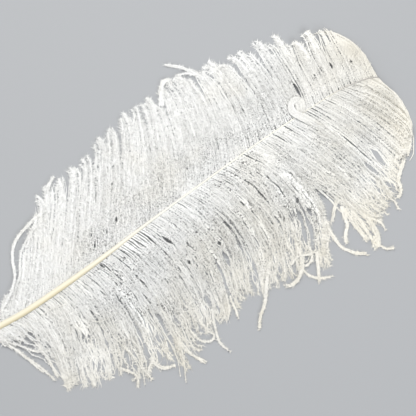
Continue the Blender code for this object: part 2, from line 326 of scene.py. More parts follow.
# Where barbs stand apart and the floor shows: side, s, from and to share of the barb, width in mm.
PARTINGS = [
    (1, 187, 0.10, 0.20, 0.8), (1, 204, 0.13, 0.21, 0.8), (1, 217, 0.18, 0.28, 1.0), (1, 247, 0.92, 0.99, 2.5),
    (1, 420, 0.93, 0.99, 1.5), (1, 475, 0.15, 0.43, 0.8), (1, 496.5, 0.26, 0.43, 0.8),
    (1, 505.5, 0.31, 0.49, 0.9), (1, 520, 0.30, 0.51, 0.8), (1, 543.5, 0.27, 0.43, 1.3),
    (-1, 87, 0.43, 0.55, 2.4), (-1, 126.5, 0.43, 0.52, 2.6), (-1, 132.5, 0.49, 0.62, 2.8),
    (-1, 132.5, 0.78, 0.91, 4.0), (-1, 157, 0.88, 0.99, 3.8), (-1, 162.5, 0.79, 0.88, 2.6),
    (-1, 179.5, 0.80, 0.85, 2.0), (-1, 187, 0.90, 1.00, 3.2), (-1, 190, 0.02, 0.09, 0.8),
    (-1, 192, 0.74, 0.87, 3.0), (-1, 197.5, 0.69, 0.83, 2.8), (-1, 199.5, 0.66, 0.74, 2.0),
    (-1, 200.5, 0.57, 0.61, 1.6), (-1, 215, 0.65, 0.77, 3.4), (-1, 224, 0.88, 0.95, 2.4),
    (-1, 232, 0.89, 0.96, 2.8), (-1, 233, 0.71, 0.80, 3.2), (-1, 234.5, 0.57, 0.61, 1.6),
    (-1, 240, 0.93, 1.00, 4.0), (-1, 248, 0.85, 0.94, 3.6), (-1, 258, 0.12, 0.28, 1.0),
    (-1, 258, 0.71, 0.86, 4.2), (-1, 259.5, 0.41, 0.50, 1.8), (-1, 286, 0.86, 0.92, 2.4),
    (-1, 294, 0.73, 0.80, 2.6), (-1, 296.5, 0.55, 0.71, 3.8), (-1, 298, 0.47, 0.52, 2.2),
    (-1, 317, 0.82, 0.90, 2.4), (-1, 329.5, 0.89, 0.94, 2.0), (-1, 338, 0.95, 1.00, 3.0),
    (-1, 348, 0.87, 0.96, 3.0), (-1, 366, 0.86, 0.98, 4.5), (-1, 369.5, 0.70, 0.86, 4.2),
    (-1, 379.5, 0.59, 0.67, 2.2), (-1, 379.5, 0.88, 0.98, 3.5), (-1, 384, 0.57, 0.75, 2.6),
    (-1, 384.5, 0.72, 0.88, 4.5), (-1, 385, 0.93, 1.00, 4.0), (-1, 391.5, 0.57, 0.66, 2.4),
    (-1, 415.5, 0.87, 0.95, 2.2), (-1, 431.5, 0.95, 1.00, 2.2), (-1, 466.8, 0.62, 0.84, 5.2),
    (-1, 469, 0.89, 0.98, 4.2), (-1, 479.8, 0.63, 0.84, 4.8), (-1, 500, 0.61, 0.67, 1.2),
]
COMB = (218, 250)  # bare barb roots stand apart like a comb on the lower side between these s
FEW_UNTIL, SHORT_UNTIL = 86, 54  # up to these s the lower vane's barbs stand apart, and all are broken short
# Waves of a barb: cycles along it, their height in degrees that its tuft shares, and the height of its own.
WAVES = ((0.9, 1.6, 1.2), (1.9, 1.8, 3.2), (3.7, 1.6, 8.5), (6.1, 0.8, 15.0))
FINE_STEPS = 80  # that a barb's line is worked out in, before its knots are taken
KNOTS = np.concatenate([[0, 0.02], np.linspace(0.05, 0.80, 18),
                        [0.84, 0.875, 0.905, 0.93, 0.95, 0.97, 0.985, 1.0]])  # shares of a barb's length
RIDGE, KEEL, SAG = 0.16, 0.12, 0.12  # mm above and below a strip's line, and how far its edges hang per mm
BARBULE_PITCH, FIRST_BARBULE = 0.58, 1.2  # mm along a barb on each of its sides, and from its root
TOOTH, DRAWN = 2.9, 0.80  # mm of barb whose barbules meet in one tooth, and how far they are drawn together
LEAN, TILT = 48, 7  # degrees that a barbule stands off its barb, and above it
BLADE_HALF, BLADE_THICK = 0.38, 0.15  # mm at a barbule's root
LOWEST = 0.05  # mm above the floor


def ramp(a, b, x):
    """From 0 to 1 while x goes from a to b, with soft ends."""
    t = np.clip((x - a) / (b - a), 0, 1)
    return t * t * (3 - 2 * t)


def vane_height(s, t):
    """Height of the middle of the vane for barbs rooted at s, at share t of their length."""
    z0 = curve(SHAFT, s)[:, 2][:, None]
    rest = FOLD_HEIGHT * (ramp(*FOLD_RISE, s) - ramp(*FOLD_FALL, s))[:, None]
    low = VANE_THICK * 0.5 * (1 - 0.45 * t) + rest
    drop = ramp(0.02, GROUNDED, t)
    return z0 * (1 - drop) + low * drop + ARCH * z0 * np.sin(np.pi * np.minimum(t / 0.7, 1))


def frames(paths):
    """Unit vectors along, across (level) and above each point of the paths."""
    run = np.gradient(paths, axis=1)
    run /= np.linalg.norm(run, axis=2)[..., None] + 1e-12
    side = np.cross(np.array([0, 0, 1.0]), run)
    side /= np.linalg.norm(side, axis=2)[..., None] + 1e-9
    return run, side, np.cross(run, side)


def path_lengths(paths):
    """How far along its path each of the points lies."""
    seg = np.linalg.norm(np.diff(paths, axis=1), axis=2)
    return np.concatenate([np.zeros((len(paths), 1)), np.cumsum(seg, 1)], 1)


def ribbons(paths, wide, roll, along):
    """Closed tent-shaped strips along paths (m, n, 3): half width (m, n), roll in radians (m, n)."""
    m, n, _ = paths.shape
    _, side, up = frames(paths)
    c, s = np.cos(roll)[..., None], np.sin(roll)[..., None]
    side, up = side * c + up * s, up * c - side * s
    w = wide[..., None]
    ring = np.stack([paths + side * w - up * w * SAG, paths + up * RIDGE, paths - side * w - up * w * SAG,
                     paths - up * (KEEL + w * 0.1)], 2)  # m, n, 4, 3
    base = (np.arange(m)[:, None, None] * n + np.arange(n - 1)[None, :, None]) * 4
    k = np.arange(4)[None, None]
    p, q = base + k, base + (k + 1) % 4
    walls = np.concatenate([np.stack([p, p + 4, q + 4], -1), np.stack([p, q + 4, q], -1)], 2).reshape(-1, 3)
    first = np.arange(m)[:, None] * n * 4
    final = first + (n - 1) * 4
    caps = np.concatenate([first + [[0, 1, 2]], first + [[0, 2, 3]], final + [[0, 2, 1]], final + [[0, 3, 2]]])
    uv = np.empty((m, n, 4, 2))
    uv[..., 0] = [0.0, 0.5, 1.0, 0.5]
    uv[..., 1] = along[..., None] * 0.1
    return ring.reshape(-1, 3), np.concatenate([walls, caps]), uv.reshape(-1, 2)


def barbules(paths, along, rng, size, fluff, pitch=BARBULE_PITCH):
    """Closed four-faced blades on both sides of each path, leaning forward, with their ends drawn together in
    teeth; size in mm per path point, and fluff how unevenly they stand on each path."""
    blades = []
    for i in range(len(paths)):
        spots = np.repeat(np.arange(FIRST_BARBULE, along[i, -1], pitch), 2)
        spots = np.clip(spots + rng.uniform(-0.3, 0.3, len(spots)), 0.4, along[i, -1] - 0.05)
        n = len(spots)
        if not n:
            continue
        hand = np.tile([1.0, -1.0], n // 2)
        k = np.clip(np.searchsorted(along[i], spots) - 1, 0, paths.shape[1] - 2)
        f = ((spots - along[i, k]) / (along[i, k + 1] - along[i, k] + 1e-9))[:, None]
        root = paths[i, k] * (1 - f) + paths[i, k + 1] * f
        way = paths[i, k + 1] - paths[i, k]
        way /= np.linalg.norm(way, axis=1)[:, None] + 1e-12
        cross = np.cross([0, 0, 1.0], way)
        cross /= np.linalg.norm(cross, axis=1)[:, None] + 1e-9
        up = np.cross(way, cross)
        tooth = ((spots + rng.uniform(0, TOOTH)) / TOOTH).astype(int)
        which = tooth * 2 + (hand > 0)
        ahead = (tooth + 0.5) * TOOTH - spots - TOOTH * 0.5
        grown, leans, tilts = (rng.normal(0, 1, which.max() + 1)[which] for _ in range(3))
        length = (size[i, k] * (1 - f[:, 0]) + size[i, k + 1] * f[:, 0]) * np.clip(1 + 0.22 * grown, 0.4, 1.5)
        length = length * rng.uniform(0.85, 1.1, n) * np.where(rng.uniform(0, 1, n) < 0.10, 1.6, 1.0)
        lean = np.radians(LEAN + fluff[i] * (13 * leans + rng.normal(0, 12, n)))
        tilt = np.radians(TILT + fluff[i] * (14 * tilts + rng.normal(0, 12, n)))
        tip = root + way * (ahead * DRAWN)[:, None] + length[:, None] * (
            np.cos(lean)[:, None] * way + (np.sin(lean) * np.cos(tilt) * hand)[:, None] * cross
            + (np.sin(lean) * np.sin(tilt))[:, None] * up)
        blades.append((root, way, up, tip, np.full(n, i), k))
    root, way, up, tip, owner, knot = (np.concatenate(c) for c in zip(*blades))
    a, b, c = root - way * BLADE_HALF, root + way * BLADE_HALF, root - up * BLADE_THICK
    points = np.stack([a, b, c, tip], 1)
    flip = np.einsum("ij,ij->i", np.cross(b - a, c - a), tip - a) > 0
    points[flip, 0], points[flip, 1] = points[flip, 1].copy(), points[flip, 0].copy()
    walls = np.array([[0, 1, 2], [0, 3, 1], [1, 3, 2], [2, 3, 0]])
    faces = (np.arange(len(root)) * 4)[:, None, None] + walls
    uv = np.tile([[0.5, 0.0], [0.5, 0.02], [0.5, 0.01], [0.9, 0.01]], (len(root), 1))
    return points.reshape(-1, 3), faces.reshape(-1, 3), uv, owner, knot


def tints(own, share, depth):
    """Colours of four points each: a shade of their own, the share of the barb's length, the depth of the painted
    pit shade.
    """
    return np.repeat(np.stack(np.broadcast_arrays(own, share, depth), -1).reshape(-1, 3), 4, 0)


def joined(parts, highest=np.inf):
    """One mesh from parts, each with points, faces, uv and tints, kept off the floor and under the highest mm."""
    points, faces, uvs, colours = zip(*parts)
    starts = np.cumsum([0] + [len(p) for p in points])
    points = np.concatenate(points)
    points[:, 2] = np.clip(points[:, 2], LOWEST, highest)
    faces = np.concatenate([f + start for f, start in zip(faces, starts)])
    return points, faces, np.concatenate(uvs), np.concatenate(colours)


down = bpy.data.materials.new("white barbs")
down.use_nodes = True
tree = down.node_tree
shader = tree.nodes["Principled BSDF"]


def calc(operation, a, b=0.5, **settings):
    """A sum, product or the like of two sockets or numbers."""
    links = [(i, value) for i, value in enumerate((a, b)) if not isinstance(value, float)]
    numbers = {f"in_{i}": value for i, value in enumerate((a, b)) if isinstance(value, float)}
    return node("ShaderNodeMath", links, operation=operation, **numbers, **settings)[0]


place = node("ShaderNodeTexCoord")["Object"]
ahead, above = node("ShaderNodeSeparateXYZ", [(0, place)])[:2]  # metres towards the tip and the upper vane
tint = node("ShaderNodeAttribute", attribute_name="tint")["Color"]
# the tint holds a shade of each piece's own, its share of the barb's length, and how dark its painted pit shade is
own, outward, painted_pit_depth = node("ShaderNodeSeparateColor", [(0, tint)])[:3]
# warm towards the lower edge and the folded tip, cool on the upper vane, in faint clouds; the warm cream is partly
# the barbs' ivory tint and partly painted shade
outer = calc("MULTIPLY", fade(above, 0.06, -0.16), outward)
ivory_and_shade = calc("MAXIMUM", outer, fade(ahead, 0.20, 0.29))
ivory_and_shade = calc("ADD", ivory_and_shade, fade(noise(place, 16.0, 2.0), 0.3, 0.7, -0.25, 0.25), use_clamp=True)
white = blend(ivory_and_shade, (0.94, 0.942, 0.93), (0.92, 0.885, 0.79))
# fine barbule lines that slant off the middle of each barb, with painted shade in the gaps between them
SLANT, LINES = 0.34, 78.0
across, along = node("ShaderNodeSeparateXYZ", [(0, node("ShaderNodeTexCoord")["UV"])])[:2]
off = calc("ABSOLUTE", calc("SUBTRACT", across, 0.5))
slant = calc("SUBTRACT", along, calc("MULTIPLY", off, SLANT))
line = fade(calc("SINE", calc("MULTIPLY", slant, LINES)), -1.0, 1.0)
shade = calc("MULTIPLY", fade(line, 0.0, 1.0, 0.88, 1.0), fade(own, 0.0, 1.0, 0.95, 1.0))
# painted shade in the pits between the barbules, in spots of their own on each barb, as dark as the tint's blue
# says
shift = node("ShaderNodeCombineXYZ", [(0, own), (1, own), (2, own)])[0]
shift = node("ShaderNodeVectorMath", [(0, shift)], operation="SCALE", in_3=3.0)[0]
spots = node("ShaderNodeVectorMath", [(0, place), (1, shift)], operation="ADD")[0]
painted_pits = calc("MULTIPLY", fade(noise(spots, 520.0, 1.5), 0.45, 0.35), painted_pit_depth)
painted_pits = calc("MULTIPLY", painted_pits, fade(noise(place, 45.0, 2.0), 0.38, 0.62, 0.45, 1.25))
shade = calc("MULTIPLY", shade, fade(painted_pits, 0.0, 1.0, 1.0, 0.1))
# painted shade: the upper vane is a little darker by the shaft near the tip, and the lower one outwards, short of
# its edge
painted_dimming = calc("MULTIPLY", fade(ahead, 0.14, 0.25), fade(above, -0.02, 0.03, 0.0, 0.08))
painted_dimming = calc("MULTIPLY", painted_dimming, fade(above, 0.05, 0.09, 1.0, 0.2))
shade = calc("MULTIPLY", shade, calc("SUBTRACT", 1.0, painted_dimming))
painted_dimming = calc("MULTIPLY", fade(above, 0.012, -0.012), fade(ahead, 0.14, 0.06))
painted_dimming = calc("MULTIPLY", painted_dimming, fade(outward, 0.1, 0.9, 0.035, 0.07))
painted_dimming = calc("MULTIPLY", painted_dimming, fade(outward, 0.8, 1.0, 1.0, 0.5))
shade = calc("MULTIPLY", shade, calc("SUBTRACT", 1.0, painted_dimming))
shaded(white, shade)
tree.links.new(fade(noise(place, 900.0, 2.0), 0.3, 0.7, 0.62, 0.85), shader.inputs["Roughness"])
bump = node("ShaderNodeBump", [("Height", line)], in_0=0.35, in_1=0.0002)
tree.links.new(bump[0], shader.inputs["Normal"])
shader.inputs["Sheen Weight"].default_value = 0.15
shader.inputs["Sheen Roughness"].default_value = 0.5


def vane_paths(side, s, seed, loose=1.0):
    """Middle lines of barbs rooted at s, (m, knots, 3), with the vane's bends, tufts, waves and hooks, and for
    each barb its tuft, its place across the tuft and the tuft's middle; loose is how freely it strays."""
    rng = np.random.default_rng(seed)
    table = LEFT_VANE if side > 0 else RIGHT_VANE
    a0, a1, length, late = (np.interp(s, table[:, 0], column)[:, None] for column in table.T[1:])
    edges, reach = np.array([*(LEFT_TUFTS if side > 0 else RIGHT_TUFTS), (LAST + 6, 1.0)]).T
    tuft = np.clip(np.searchsorted(edges, s, side="right") - 1, 0, len(edges) - 2)
    off = (s - edges[tuft]) / (edges[tuft + 1] - edges[tuft]) - 0.5  # from -0.5 to 0.5 across the tuft
    amount = len(edges)
    stretch = reach[tuft] - 0.012 - 0.16 * off**2 + rng.normal(0, 0.015 if side > 0 else 0.03, len(s)) * loose
    t = (np.arange(FINE_STEPS) + 0.5) / FINE_STEPS
    wave = np.zeros((len(s), FINE_STEPS))
    messy = (0.55 if side > 0 else 1.0) * (1 - 0.55 * ramp(430, 500, s))
    for cycles, shared, own in WAVES:
        phase = rng.uniform(0, 2 * np.pi, amount)[tuft] + rng.normal(0, 0.9, len(s))
        height = rng.normal(0, shared, amount)[tuft] + rng.normal(0, own, len(s)) * loose * messy
        wave += height[:, None] * np.sin(2 * np.pi * cycles * t + phase[:, None])
    stray = np.where(rng.uniform(0, 1, len(s)) < 0.14, 2.2, 1.0)[:, None]
    wave *= 1 + (stray - 1) * loose
    curly = rng.normal(0, 1, len(s))[:, None] * np.sin(2 * np.pi * 9 * t + rng.uniform(0, 6.3, len(s))[:, None])
    wave += curly * ramp(0.50, 0.95, t) * (24 * messy * loose)[:, None]
    if side > 0:
        bend = rng.normal(14, 20, amount)[tuft] - 36 * off + rng.normal(0, 18, len(s)) * loose
        bend += 22 * ramp(110, 150, s) * (1 - ramp(440, 480, s))
        bend *= 1 - 0.85 * ramp(520, 545, s)
    else:
        calm = 1 - 0.6 * ramp(455, 490, s)
        wave *= calm[:, None]
        bend = rng.normal(0, 36, amount)[tuft] * calm + rng.normal(0, 55, len(s)) * loose * messy * calm
        bend += 50 * ramp(508, 528, s) * (1 - ramp(545, 560, s))
    hook = bend[:, None] * ramp(0.84, 1.0, t) ** 1.5
    angle = np.radians(a0 + (a1 - a0) * t**late + wave * ramp(0, 0.25, t) + hook)
    step = length * stretch[:, None] / FINE_STEPS
    start = curve(SHAFT, s)[:, :2]
    x = np.concatenate([start[:, :1], start[:, :1] + np.cumsum(np.cos(angle) * step, 1)], 1)
    y = np.concatenate([start[:, 1:], start[:, 1:] + np.cumsum(side * np.sin(angle) * step, 1)], 1)
    knots = KNOTS * FINE_STEPS
    low = np.minimum(knots.astype(int), FINE_STEPS - 1)
    part = knots - low
    x = x[:, low] * (1 - part) + x[:, low + 1] * part
    y = y[:, low] * (1 - part) + y[:, low + 1] * part
    return np.stack([x, y, vane_height(s, KNOTS)], -1), tuft, off, 0.5 * (edges[tuft] + edges[tuft + 1])


def painted_pit_shade(side, s, t):
    """How dark the painted shade in the pits between barbules is for barbs rooted at s, at share t of their
    length: about 0 to 1.
    """
    # less painted pit shade towards the quill
    full = 1 - 0.7 * (1 - ramp(140, 195, s))  # the vanes are smoother towards the quill
    if side > 0:
        outer = (1 - 0.55 * ramp(240, 300, s) * ramp(0.3, 0.6, t)) * (1 - 0.65 * ramp(440, 500, s))
        return full * (1.1 - 0.7 * ramp(0.15, 0.6, t)) * outer
    return full * (1.1 - 0.35 * ramp(0.5, 1.0, t) - 0.08 * ramp(270, 330, s) - 0.34 * ramp(370, 440, s)
                   - 0.12 * ramp(440, 470, s))


def barbule_size(side, s, t):
    """Length in mm of the barbules on barbs rooted at s, at share t: less at both ends and on the tip's rim."""
    if side > 0:
        even, rim = (2.4 + 2.6 * ramp(0.01, 0.15, t)) * (1 - 0.35 * ramp(0.85, 1.0, t)), (556, 568)
    else:
        even, rim = (1.5 + 3.5 * ramp(0.04, 0.24, t)) * (1 - 0.1 * ramp(0.85, 1.0, t)), (538, 558)
    return even * (1 - 0.75 * ramp(500, 535, s) * ramp(0.4, 0.9, t)) * (1 - 0.8 * ramp(*rim, s))


for side, vane_name in ((1, "left"), (-1, "right")):
    layers = []
    for layer, (drop, half_width) in enumerate(LAYERS[side]):
        rng = np.random.default_rng(100 + 10 * layer + side)
        count = int((LAST - FIRST) / BARB_PITCH)
        order = np.arange(count) + (0.0 if layer else 0.5) + rng.uniform(-0.25, 0.25, count)
        roots = FIRST + order * BARB_PITCH
        t = KNOTS
        seed = 40 + side + 7 * layer
        paths, tuft, off, centre = vane_paths(side, roots, seed, 0.5 if layer else 1.0)
        # towards their ends the barbs of a tuft gather to its middle line
        spine = vane_paths(side, centre, seed, 0.0)[0]
        gather, start = (0.60, 0.60) if side > 0 else (0.62, 0.74)
        hold = gather * ramp(start, 1.0, t) * (0.65 if layer else 1.0)
        hold = hold[None] * (1 - (0.0 if side > 0 else 0.85) * ramp(460, 490, roots))[:, None]
        paths[..., :2] += (spine[..., :2] - paths[..., :2]) * hold[..., None]
        # barbs cling together in strings of two or three
        string = np.cumsum(rng.uniform(0, 1, count) < 0.42)
        amount = np.bincount(string)[:, None, None]
        mean = np.zeros((len(amount), len(t), 3))
        np.add.at(mean, string, paths)
        cling = (0.28 if side > 0 else 0.34) * ramp(0.05, 0.35, t) * (0.3 if layer else 1.0)
        smooth = 1 + (-0.2 if side > 0 else 0.1) * ramp(380, 440, roots)
        paths += ((mean / np.maximum(amount, 1))[string] - paths) * (cling[None] * smooth[:, None])[..., None]
        lifted = rng.normal(0, 0.42, len(amount))[string] * smooth
        # at a parting the barbs on its two sides move apart and lose their barbules
        across = frames(paths)[1]
        trim = np.ones((count, len(t)))
        for where, s0, t0, t1, gap in PARTINGS:
            if where != side:
                continue
            beside = roots - s0
            push = np.where(beside >= 0, 1, -1) * np.exp(-np.abs(beside) / 5.5) * (gap * 0.6 + 0.8)
            swell = np.sin(np.pi * np.clip((t - t0) / (t1 - t0), 0, 1))
            way = -side * across  # towards the tip of the shaft
            paths += way * (push[:, None] * swell[None])[..., None]
            trim *= 1 - min(0.7 + 0.05 * gap, 0.92) * np.exp(-((beside / 4.0) ** 2))[:, None] * swell[None]
        # each barb snakes a little, so that no gap runs on between two of them
        ripple = np.random.default_rng(500 + side + 7 * layer)
        turns = t[None] * ripple.uniform(5.0, 7.5, (count, 1)) + ripple.uniform(0, 1, (count, 1))
        quicker = turns * 1.7 + ripple.uniform(0, 1, (count, 1))
        snake = 0.55 * np.sin(2 * np.pi * turns) + 0.35 * np.sin(2 * np.pi * quicker)
        calm = 1 - 0.7 * ramp(450, 480, roots)
        snake *= (0.5 if side > 0 else 1.0) * ramp(0.08, 0.25, t)[None] * calm[:, None]
        paths += across * snake[..., None]
        # tufts lie on one another like shingles
        raised = np.random.default_rng(300 + side).normal(0, 0.9, tuft.max() + 1)[tuft] + 1.5 * off
        if side < 0:
            raised *= 1 + 0.8 * ramp(420, 450, roots)
            raised *= 1 - 0.65 * (ramp(380, 388, roots) - ramp(409.9, 410.1, roots))
            # broad folds in the fan at the tip
            fold = np.sin((roots - 436) / 27 * 2 * np.pi) * ramp(430, 450, roots) * (1 - ramp(535, 555, roots))
            paths[..., 2] += 2.8 * fold[:, None] * ramp(0.1, 0.4, t) * (1 - 0.4 * ramp(0.8, 1.0, t))
        shingle = raised + (lifted + rng.normal(0, 0.3, count)) * (0.3 if layer else 1.0)
        paths[..., 2] += shingle[:, None] * ramp(0.0, 0.15, t) - drop * ramp(0, 0.05, t)
        if layer:
            wide = half_width * (1 - (0.55 if side > 0 else 0.40) * ramp(0.45, 0.8, t))
            wide = wide * (1 - 0.75 * ramp(0.85, 1.0, t))
        else:
            wide = half_width * (1 - (0.5 if side > 0 else 0.2) * ramp(0.90, 1.0, t))
        wide = wide[None] * rng.uniform(0.75, 1.2, count)[:, None]
        if layer:  # narrower at partings and near their roots
            wide *= trim
            wide *= 1 - (0.35 * (1 - ramp(0.15, 0.35, t)) if side > 0 else 0.3 * (1 - ramp(0.08, 0.2, t)))
        if layer == 2:  # its barbs close the gaps only here and there, so that short dashes of them stay
            uneven = np.random.default_rng(700).uniform(0.2, 1.3, wide.shape)
            wide *= uneven * (1 - ramp(440, 462, roots))[:, None]
        if side < 0:
            comb = ramp(COMB[0] - 3, COMB[0] + 3, roots) * (1 - ramp(COMB[1] - 3, COMB[1] + 3, roots))
            bare = comb[:, None] * (1 - ramp(0.09, 0.15, t))
            wide *= 1 - (0.9 if layer else -1.3) * bare
            trim *= 1 - 0.95 * bare
            # most of the first barbs of the lower vane are broken short, and the others stand apart
            few = roots < FEW_UNTIL
            short = few & ((np.arange(count) % 3 > 0) | (roots < SHORT_UNTIL))
            broken = np.where(short, rng.uniform(0.16, 0.34, count), 1.0)[:, None] * t
            for axis in range(3):
                paths[..., axis] = [np.interp(broken[i], t, paths[i, :, axis]) for i in range(count)]
            thin = few[:, None] * ramp(0.15, 0.3, broken)
            wide *= 1 - (0.7 if layer else 0.4) * thin
            trim *= 1 - 0.55 * thin
            # the last locks before the fan are fuller
            fuller = (ramp(372, 392, roots) - ramp(407, 409, roots))[:, None] * (1 - ramp(0.52, 0.66, t))
            wide *= 1 + (0.12 if layer else 0.2) * fuller
        # strips are rolled a little about their own line, each and along it
        twist = rng.normal(0, 6, (count, 1)) + rng.normal(0, 16, (count, len(t))) * (0.5 if layer else 1.0)
        paths[..., 2] = np.maximum(paths[..., 2], 0.45 - 0.2 * layer)
        layers.append((roots, paths, wide, np.radians(twist), trim))
    for part, (low, high) in enumerate(PARTS):
        strips = []
        for layer, (roots, paths, wide, roll, trim) in enumerate(layers):
            rng = np.random.default_rng(500 + 10 * part + layer + side)
            share = (roots - FIRST) / (LAST - FIRST)
            chosen = (share >= low) & (share < high)
            path, s = paths[chosen], roots[chosen][:, None]
            along = path_lengths(path)
            # painted shade in the pits between barbules, by barb and along it
            depth = painted_pit_shade(side, s, KNOTS[None])
            # the barbs themselves show as fine pale lines on the lower vane, lifted, a little wider and with less
            # painted pit shade, but not where it is fluffiest
            clear = (side < 0 and layer == 0) * (1 - ramp(366, 380, s) + ramp(409, 420, s))
            strip = ribbons(path + [0, 0, 0.3] * clear[..., None], wide[chosen] * (1 + 0.1 * clear), roll[chosen],
                            along)
            own = rng.uniform(0, 1, (len(path), 1))
            strips.append((*strip, tints(own, KNOTS, depth * ((0.9 if layer else 0.7) - 0.4 * clear))))
            if layer == 0:
                size = barbule_size(side, s, KNOTS[None]) * trim[chosen] * (1.0 if side > 0 else 0.85)
                size = size * rng.uniform(0.7, 1.2, len(path))[:, None]
                fluff = np.where(roots[chosen] > 480, 0.6, 1.4 if side > 0 else 1.7)
                *blades, owner, knot = barbules(path, along, rng, size, fluff)
                own = rng.uniform(0, 1, len(owner))
                strips.append((*blades, tints(own, KNOTS[knot], depth[owner, knot])))
        piece = mesh_object(f"barbs_{vane_name}_{part + 1}", down, *joined(strips))
        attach(piece, "root")
        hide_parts("feather")

